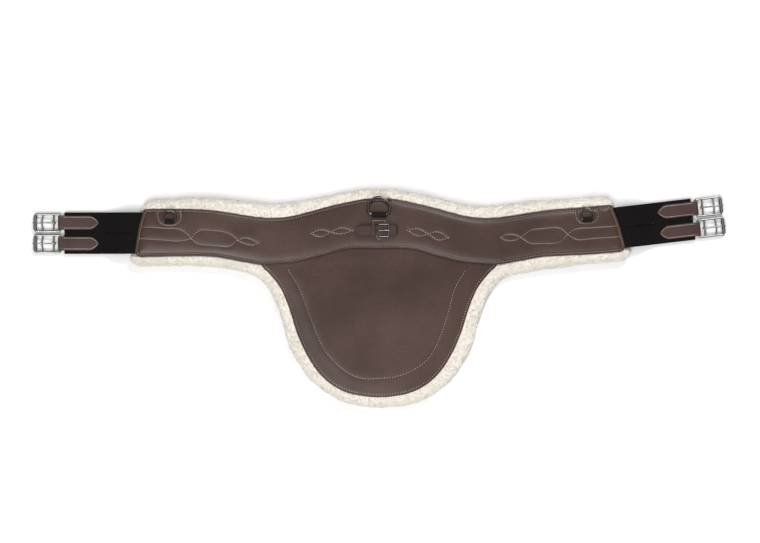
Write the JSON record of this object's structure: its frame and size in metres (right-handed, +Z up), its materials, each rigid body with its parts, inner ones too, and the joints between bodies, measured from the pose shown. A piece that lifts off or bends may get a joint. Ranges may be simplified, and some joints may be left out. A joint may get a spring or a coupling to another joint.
{
  "type": "saddle girth",
  "caption": "Shaped leather saddle girth with a fleece lining and a rounded belly guard, elastic straps with roller buckles at both ends, and D-rings.",
  "frame": {"origin": "on the ground under the middle of the bounding box, the girth lying flat on its fleece", "axes": "+X along the girth, towards the wing that bends; +Y across it, away from the belly guard; +Z up, out of the leather side"},
  "size_m": [1.2708, 0.396, 0.0422],
  "materials": {
    "leather": "smooth oiled brown leather with a fine grain",
    "chape_leather": "smooth brown bridle leather, edges dyed dark",
    "lining_leather": "plain backing leather, not seen from outside",
    "fleece": "cream sheepskin fleece, deep and curly",
    "foam": "closed-cell foam, inside",
    "webbing": "black woven nylon webbing",
    "elastic": "black ribbed girth elastic",
    "buckle_steel": "polished stainless steel",
    "ring_steel": "polished steel, darker"
  },
  "bodies": {
    "girth": {"belly_guard": "leather", "belly_padding": "foam", "center_patch": "leather", "center_ring_tab": "webbing", "center_strap": "leather", "core_web_lower": "webbing", "core_web_upper": "webbing", "elastic_sewn_end_lower_left": "elastic", "elastic_sewn_end_lower_right": "elastic", "elastic_sewn_end_upper_left": "elastic", "elastic_sewn_end_upper_right": "elastic", "fleece_lining": "fleece", "girth_padding": "foam", "girth_panel": "leather", "left_ring_tab": "webbing", "lining_leather": "lining_leather", "right_ring_tab": "webbing"},
    "elastic_upper_left": {"elastic_upper_left": "elastic"},
    "chape_upper_left": {"chape_upper_left": "chape_leather"},
    "buckle_upper_left": {"buckle_frame_upper_left": "buckle_steel"},
    "tongue_upper_left": {"buckle_tongue_upper_left": "buckle_steel"},
    "roller_upper_left": {"buckle_roller_upper_left": "buckle_steel"},
    "elastic_lower_left": {"elastic_lower_left": "elastic"},
    "chape_lower_left": {"chape_lower_left": "chape_leather"},
    "buckle_lower_left": {"buckle_frame_lower_left": "buckle_steel"},
    "tongue_lower_left": {"buckle_tongue_lower_left": "buckle_steel"},
    "roller_lower_left": {"buckle_roller_lower_left": "buckle_steel"},
    "elastic_upper_right": {"elastic_upper_right": "elastic"},
    "chape_upper_right": {"chape_upper_right": "chape_leather"},
    "buckle_upper_right": {"buckle_frame_upper_right": "buckle_steel"},
    "tongue_upper_right": {"buckle_tongue_upper_right": "buckle_steel"},
    "roller_upper_right": {"buckle_roller_upper_right": "buckle_steel"},
    "elastic_lower_right": {"elastic_lower_right": "elastic"},
    "chape_lower_right": {"chape_lower_right": "chape_leather"},
    "buckle_lower_right": {"buckle_frame_lower_right": "buckle_steel"},
    "tongue_lower_right": {"buckle_tongue_lower_right": "buckle_steel"},
    "roller_lower_right": {"buckle_roller_lower_right": "buckle_steel"},
    "center_ring": {"center_d_ring": "ring_steel"},
    "left_ring": {"left_d_ring": "ring_steel"},
    "right_ring": {"right_d_ring": "ring_steel"},
    "center_buckle": {"center_buckle_frame": "buckle_steel"},
    "center_tongue": {"center_buckle_tongue": "buckle_steel"},
    "keeper": {"center_keeper": "leather"}
  },
  "joints": [
    {"name": "flex_upper_left", "type": "hinge", "parent": "girth", "child": "elastic_upper_left", "pos_m": [-0.44392, 0.1376, 0.0171], "axis": [0.213, 0.9771, 0], "range_deg": [-40, 100]},
    {"name": "stretch_upper_left", "type": "slide", "parent": "elastic_upper_left", "child": "chape_upper_left", "axis": [-1, 0, 0], "range_m": [0, 0.03], "stiffness_N_per_m": 2000},
    {"name": "buckle_swing_upper_left", "type": "hinge", "parent": "chape_upper_left", "child": "buckle_upper_left", "pos_m": [-0.58518, 0.1376, 0.0048], "axis": [0, 1, 0], "range_deg": [-70, 70]},
    {"name": "tongue_swing_upper_left", "type": "hinge", "parent": "buckle_upper_left", "child": "tongue_upper_left", "pos_m": [-0.59728, 0.1376, 0.0048], "axis": [0, 1, 0], "range_deg": [0, 110]},
    {"name": "roller_spin_upper_left", "type": "hinge", "parent": "buckle_upper_left", "child": "roller_upper_left", "pos_m": [-0.63138, 0.1376, 0.0048], "axis": [0, 1, 0], "continuous": true},
    {"name": "flex_lower_left", "type": "hinge", "parent": "girth", "child": "elastic_lower_left", "pos_m": [-0.45224, 0.0994, 0.0171], "axis": [0.213, 0.9771, 0], "range_deg": [-40, 100]},
    {"name": "stretch_lower_left", "type": "slide", "parent": "elastic_lower_left", "child": "chape_lower_left", "axis": [-1, 0, 0], "range_m": [0, 0.03], "stiffness_N_per_m": 2000},
    {"name": "buckle_swing_lower_left", "type": "hinge", "parent": "chape_lower_left", "child": "buckle_lower_left", "pos_m": [-0.58518, 0.0994, 0.0048], "axis": [0, 1, 0], "range_deg": [-70, 70]},
    {"name": "tongue_swing_lower_left", "type": "hinge", "parent": "buckle_lower_left", "child": "tongue_lower_left", "pos_m": [-0.59728, 0.0994, 0.0048], "axis": [0, 1, 0], "range_deg": [0, 110]},
    {"name": "roller_spin_lower_left", "type": "hinge", "parent": "buckle_lower_left", "child": "roller_lower_left", "pos_m": [-0.63138, 0.0994, 0.0048], "axis": [0, 1, 0], "continuous": true},
    {"name": "flex_upper_right", "type": "hinge", "parent": "girth", "child": "elastic_upper_right", "pos_m": [0.4399, 0.1476, 0.0171], "axis": [0.3255, -0.9455, 0], "range_deg": [-40, 100]},
    {"name": "stretch_upper_right", "type": "slide", "parent": "elastic_upper_right", "child": "chape_upper_right", "axis": [0.9932, 0.1167, 0], "range_m": [0, 0.03], "stiffness_N_per_m": 2000},
    {"name": "buckle_swing_upper_right", "type": "hinge", "parent": "chape_upper_right", "child": "buckle_upper_right", "pos_m": [0.5802, 0.16408, 0.0048], "axis": [0.1167, -0.9932, 0], "range_deg": [-70, 70]},
    {"name": "tongue_swing_upper_right", "type": "hinge", "parent": "buckle_upper_right", "child": "tongue_upper_right", "pos_m": [0.59221, 0.16549, 0.0048], "axis": [0.1167, -0.9932, 0], "range_deg": [0, 110]},
    {"name": "roller_spin_upper_right", "type": "hinge", "parent": "buckle_upper_right", "child": "roller_upper_right", "pos_m": [0.62608, 0.16947, 0.0048], "axis": [0.1167, -0.9932, 0], "continuous": true},
    {"name": "flex_lower_right", "type": "hinge", "parent": "girth", "child": "elastic_lower_right", "pos_m": [0.45263, 0.11063, 0.0171], "axis": [0.3255, -0.9455, 0], "range_deg": [-40, 100]},
    {"name": "stretch_lower_right", "type": "slide", "parent": "elastic_lower_right", "child": "chape_lower_right", "axis": [0.9932, 0.1167, 0], "range_m": [0, 0.03], "stiffness_N_per_m": 2000},
    {"name": "buckle_swing_lower_right", "type": "hinge", "parent": "chape_lower_right", "child": "buckle_lower_right", "pos_m": [0.58465, 0.12614, 0.0048], "axis": [0.1167, -0.9932, 0], "range_deg": [-70, 70]},
    {"name": "tongue_swing_lower_right", "type": "hinge", "parent": "buckle_lower_right", "child": "tongue_lower_right", "pos_m": [0.59667, 0.12755, 0.0048], "axis": [0.1167, -0.9932, 0], "range_deg": [0, 110]},
    {"name": "roller_spin_lower_right", "type": "hinge", "parent": "buckle_lower_right", "child": "roller_lower_right", "pos_m": [0.63054, 0.13153, 0.0048], "axis": [0.1167, -0.9932, 0], "continuous": true},
    {"name": "center_ring_swing", "type": "hinge", "parent": "girth", "child": "center_ring", "pos_m": [-0.00068, 0.153, 0.0314], "axis": [1, 0, 0], "range_deg": [0, 130]},
    {"name": "left_ring_swing", "type": "hinge", "parent": "girth", "child": "left_ring", "pos_m": [-0.38268, 0.141, 0.0307], "axis": [1, 0, 0], "range_deg": [0, 150]},
    {"name": "right_ring_swing", "type": "hinge", "parent": "girth", "child": "right_ring", "pos_m": [0.37944, 0.14477, 0.0307], "axis": [0.9969, 0.0792, 0], "range_deg": [0, 150]},
    {"name": "center_buckle_swing", "type": "hinge", "parent": "girth", "child": "center_buckle", "pos_m": [-0.00068, 0.1232, 0.0351], "axis": [0, -1, 0], "range_deg": [0, 20]},
    {"name": "center_tongue_swing", "type": "hinge", "parent": "center_buckle", "child": "center_tongue", "pos_m": [-0.00068, 0.1232, 0.0351], "axis": [0, -1, 0], "range_deg": [0, 20]},
    {"name": "keeper_slide", "type": "slide", "parent": "girth", "child": "keeper", "axis": [-1, 0, 0], "range_m": [0, 0.012]}
  ]
}
